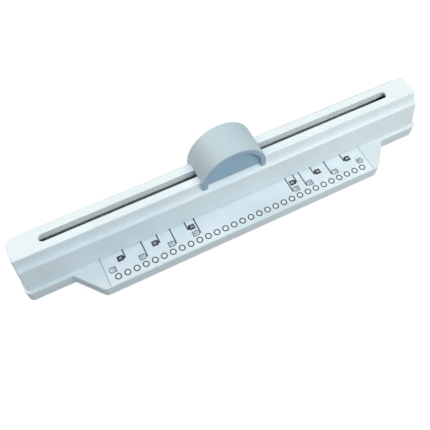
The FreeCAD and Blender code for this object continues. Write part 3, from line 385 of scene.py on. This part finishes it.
def printed(name, material, draw):
    """A printed layer on the film, drawn by a function that fills a mesh."""
    mesh = bmesh.new()
    draw(mesh)
    data = bpy.data.meshes.new(name)
    mesh.to_mesh(data)
    mesh.free()
    data.materials.append(material)
    layer = bpy.data.objects.new(name, data)
    bpy.context.scene.collection.objects.link(layer)
    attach(layer, "base")
    return layer


def circle(x, y, radius):
    """The points of a circle, counterclockwise."""
    steps = [2 * math.pi * i / RING_SIDES for i in range(RING_SIDES)]
    return [(x + radius * math.cos(a), y + radius * math.sin(a)) for a in steps]


ink_low = film_top - INK_SINK
ink_high = film_top + INK_HEIGHT


def draw_rings(mesh):
    """The thirty hole marks."""
    for x in pin_places:
        outer = circle(x, RING_LINE, RING_OUTER)
        flat_frame(mesh, outer, circle(x, RING_LINE, RING_OUTER - RING_WIDTH), ink_low, ink_high)


def draw_ring_centres(mesh):
    """White ink inside the hole marks."""
    for x in pin_places:
        flat_form(mesh, circle(x, RING_LINE, RING_OUTER - RING_WIDTH), ink_low, ink_high - INK_HEIGHT / 2)


printed("print_rings", dark_ink, draw_rings)
printed("print_ring_centres", white_ink, draw_ring_centres)

# Guide lines start at the throat: long ones with an outlined tag, short ones with a black tag
LINE_WIDTH = 0.0013
SHORT_END = -0.0203
LONG_END = -0.0286
TAG_LENGTH = 0.0077
TAG_DEPTH = 0.0059
TAG_NOSE = 0.0018
TAG_LINE = 0.0008
BLACK_TAG_LINE = -0.0186
WHITE_TAG_LINE = -0.0268
END_TAG_X = 0.1405
END_LINE_WIDTH = 0.0005
NUMBER_HEIGHT = 0.0046
BLACK_NUMBER_HEIGHT = 0.0036

# Place of each line, then the side of it that has the tag
SHORT_LINES = [(-0.1246, -1), (-0.0883, -1), (-0.0579, 1), (0.0671, -1), (0.0882, 1), (0.1248, 1)]
LONG_LINES = [(-0.1049, -1), (-0.0741, -1), (-0.0479, -1), (0.0577, 1), (0.0740, 1), (0.1047, 1)]
BLACK_TAG_OFFSET = 0.0040
WHITE_TAG_OFFSET = 0.0041


def rectangle(x0, x1, y0, y1):
    """The corners of an upright rectangle, counterclockwise."""
    return [(x0, y0), (x1, y0), (x1, y1), (x0, y1)]


def draw_lines(mesh):
    """The guide lines."""
    half = LINE_WIDTH / 2
    for places, end in ((SHORT_LINES, SHORT_END), (LONG_LINES, LONG_END)):
        for x, _ in places:
            flat_form(mesh, rectangle(x - half, x + half, end, film_back), ink_low, ink_high)


def draw_end_lines(mesh):
    """The two lines at the ends of the film."""
    for x0 in (film_box[0].x + END_LINE_WIDTH, film_box[1].x - 2 * END_LINE_WIDTH):
        end_line = rectangle(x0, x0 + END_LINE_WIDTH, film_box[0].y, film_back)
        flat_form(mesh, end_line, ink_low, ink_high)


def tag(x, y, side, inset=0.0):
    """A pentagon tag whose nose points to one side, counterclockwise."""
    back = TAG_LENGTH / 2 - inset
    shoulder = TAG_LENGTH / 2 - TAG_NOSE - inset / 2
    nose = TAG_LENGTH / 2 - inset
    rise = TAG_DEPTH / 2 - inset
    points = [(-back, -rise), (shoulder, -rise), (nose, 0.0), (shoulder, rise), (-back, rise)]
    placed = [(x + side * u, y + v) for u, v in points]
    return placed if side > 0 else list(reversed(placed))


def outlined_places():
    """Where the outlined tags lie, and which way each points: at its line, or at the end."""
    places = [(x + side * WHITE_TAG_OFFSET, WHITE_TAG_LINE, -side) for x, side in LONG_LINES]
    return [(-END_TAG_X, WHITE_TAG_LINE, -1)] + places + [(END_TAG_X, WHITE_TAG_LINE, 1)]


def black_places():
    """Where the black tags lie, each pointing at its line."""
    return [(x + side * BLACK_TAG_OFFSET, BLACK_TAG_LINE, -side) for x, side in SHORT_LINES]


def draw_outlined_tags(mesh):
    """The outlines of the white tags."""
    for x, y, side in outlined_places():
        flat_frame(mesh, tag(x, y, side), tag(x, y, side, TAG_LINE), ink_low, ink_high)


def draw_black_tags(mesh):
    """The solid tags."""
    for x, y, side in black_places():
        flat_form(mesh, tag(x, y, side), ink_low, ink_high)


printed("print_lines", dark_ink, draw_lines)
printed("print_end_lines", grey_ink, draw_end_lines)
printed("print_outlined_tags", dark_ink, draw_outlined_tags)
printed("print_black_tags", black_ink, draw_black_tags)


def number(name, words, height, x, y, material, level):
    """A plain number on a tag, as a thin closed mesh."""
    curve = bpy.data.curves.new(name, "FONT")
    curve.body = words
    curve.size = height
    curve.align_x = "CENTER"
    curve.align_y = "CENTER"
    curve.extrude = INK_HEIGHT / 2
    letters = bpy.data.objects.new(name + "_curve", curve)
    bpy.context.scene.collection.objects.link(letters)
    bpy.context.view_layer.update()
    data = bpy.data.meshes.new_from_object(letters)
    bpy.data.objects.remove(letters)
    data.name = name
    data.transform(Matrix.Translation(Vector((x, y, level))))
    data.materials.clear()
    data.materials.append(material)
    figure = bpy.data.objects.new(name, data)
    bpy.context.scene.collection.objects.link(figure)
    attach(figure, "base")


for count, (x, y, side) in enumerate(sorted(outlined_places()), start=1):
    middle = x - side * TAG_NOSE / 2
    words = str(10 * count)
    number("print_number_%d" % count, words, NUMBER_HEIGHT, middle, y, dark_ink, film_top + INK_HEIGHT / 2)
for count, (x, y, side) in enumerate(sorted(black_places()), start=1):
    middle = x - side * TAG_NOSE / 2
    name = "print_black_number_%d" % count
    words = str(10 * count)
    number(name, words, BLACK_NUMBER_HEIGHT, middle, y, white_ink, ink_high + INK_HEIGHT / 4)


# The desk and the light: a plain white studio floor that keeps a soft shadow, a cool lamp
# high in front that shines down into the slot, warmer ones low behind at the left and near
# the right-hand end, a weak one above, and a faint bluish sky.
FLOOR_HALF = 4.0
FLOOR_GREY = 0.12
FLOOR_GLOW = 0.90
FLOOR_BOUNCE = 0.20
SKY_SEEN = 0.95


def studio_floor():
    """A white floor; the camera, and what it sees reflected, gets more white than the rest."""
    data = bpy.data.meshes.new("floor")
    h = FLOOR_HALF
    data.from_pydata([(-h, -h, 0.0), (h, -h, 0.0), (h, h, 0.0), (-h, h, 0.0)], [], [(0, 1, 2, 3)])
    floor = bpy.data.objects.new("floor", data)
    bpy.context.scene.collection.objects.link(floor)
    material = bpy.data.materials.new("floor_white")
    material.use_nodes = True
    tree = material.node_tree
    shader = tree.nodes["Principled BSDF"]
    shader.inputs["Base Color"].default_value = (FLOOR_GREY, FLOOR_GREY, FLOOR_GREY, 1.0)
    shader.inputs["Roughness"].default_value = 0.9
    shader.inputs["Emission Color"].default_value = (1.0, 1.0, 1.0, 1.0)
    path = tree.nodes.new("ShaderNodeLightPath")
    seen = tree.nodes.new("ShaderNodeMath")
    seen.operation = "MAXIMUM"
    tree.links.new(path.outputs["Is Camera Ray"], seen.inputs[0])
    tree.links.new(path.outputs["Is Glossy Ray"], seen.inputs[1])
    glow = tree.nodes.new("ShaderNodeMapRange")
    glow.inputs["To Min"].default_value = FLOOR_BOUNCE
    glow.inputs["To Max"].default_value = FLOOR_GLOW
    tree.links.new(seen.outputs[0], glow.inputs["Value"])
    tree.links.new(glow.outputs["Result"], shader.inputs["Emission Strength"])
    data.materials.append(material)


def sky(colour, strength):
    """An even pale light from all round; the camera and reflections see plain white."""
    world = bpy.data.worlds.new("studio")
    bpy.context.scene.world = world
    world.use_nodes = True
    tree = world.node_tree
    even = tree.nodes["Background"]
    even.inputs["Color"].default_value = colour
    even.inputs["Strength"].default_value = strength
    white = tree.nodes.new("ShaderNodeBackground")
    white.inputs["Color"].default_value = (SKY_SEEN, SKY_SEEN, SKY_SEEN, 1.0)
    path = tree.nodes.new("ShaderNodeLightPath")
    seen = tree.nodes.new("ShaderNodeMath")
    seen.operation = "MAXIMUM"
    tree.links.new(path.outputs["Is Camera Ray"], seen.inputs[0])
    tree.links.new(path.outputs["Is Glossy Ray"], seen.inputs[1])
    either = tree.nodes.new("ShaderNodeMixShader")
    tree.links.new(seen.outputs[0], either.inputs[0])
    tree.links.new(even.outputs[0], either.inputs[1])
    tree.links.new(white.outputs[0], either.inputs[2])
    tree.links.new(either.outputs[0], tree.nodes["World Output"].inputs["Surface"])


def lamp(name, place, aim, size, power, colour):
    """A soft square lamp that looks at a point."""
    data = bpy.data.lights.new(name, "AREA")
    data.size = size
    data.energy = power
    data.color = colour
    light = bpy.data.objects.new(name, data)
    light.location = place
    light.rotation_mode = "QUATERNION"
    light.rotation_quaternion = (Vector(aim) - Vector(place)).to_track_quat("-Z", "Y")
    bpy.context.scene.collection.objects.link(light)


studio_floor()
sky((0.50, 0.72, 1.0, 1.0), 0.11)
lamp("lamp_above", (-0.25, 0.45, 1.5), (0.0, 0.0, 0.03), 1.1, 2.6, (1.0, 0.97, 0.95))
lamp("lamp_front", (0.0, -0.75, 1.35), (0.0, 0.0, 0.03), 0.5, 8.2, (0.55, 0.82, 1.0))
lamp("lamp_right", (0.45, -0.42, 0.75), (0.0, 0.0, 0.03), 0.3, 4.6, (1.0, 0.95, 0.80))
lamp("lamp_behind", (-0.5, 0.8, 0.6), (0.0, 0.0, 0.03), 0.8, 8.3, (1.0, 0.91, 0.76))


# The photographer stood in front of the punch, high up and to its left, with the camera
# turned a little so that the punch lies across the picture.
CAMERA_PLACE = (-0.14765, -0.26079, 0.50802)
CAMERA_AIM = (-0.02997, -0.02400, 0.03000)
CAMERA_ROLL = -0.2493
CAMERA_LENS = 46.923
SENSOR = 36.0

camera_data = bpy.data.cameras.new("camera")
camera_data.sensor_width = SENSOR
camera_data.lens = CAMERA_LENS
camera = bpy.data.objects.new("camera", camera_data)
camera.location = CAMERA_PLACE
camera.rotation_mode = "QUATERNION"
look = (Vector(CAMERA_AIM) - Vector(CAMERA_PLACE)).to_track_quat("-Z", "Y")
roll = Quaternion((0.0, 0.0, 1.0), math.radians(CAMERA_ROLL))
camera.rotation_quaternion = look @ roll
bpy.context.scene.collection.objects.link(camera)
bpy.context.scene.camera = camera

scene = bpy.context.scene
scene.view_settings.view_transform = "Standard"
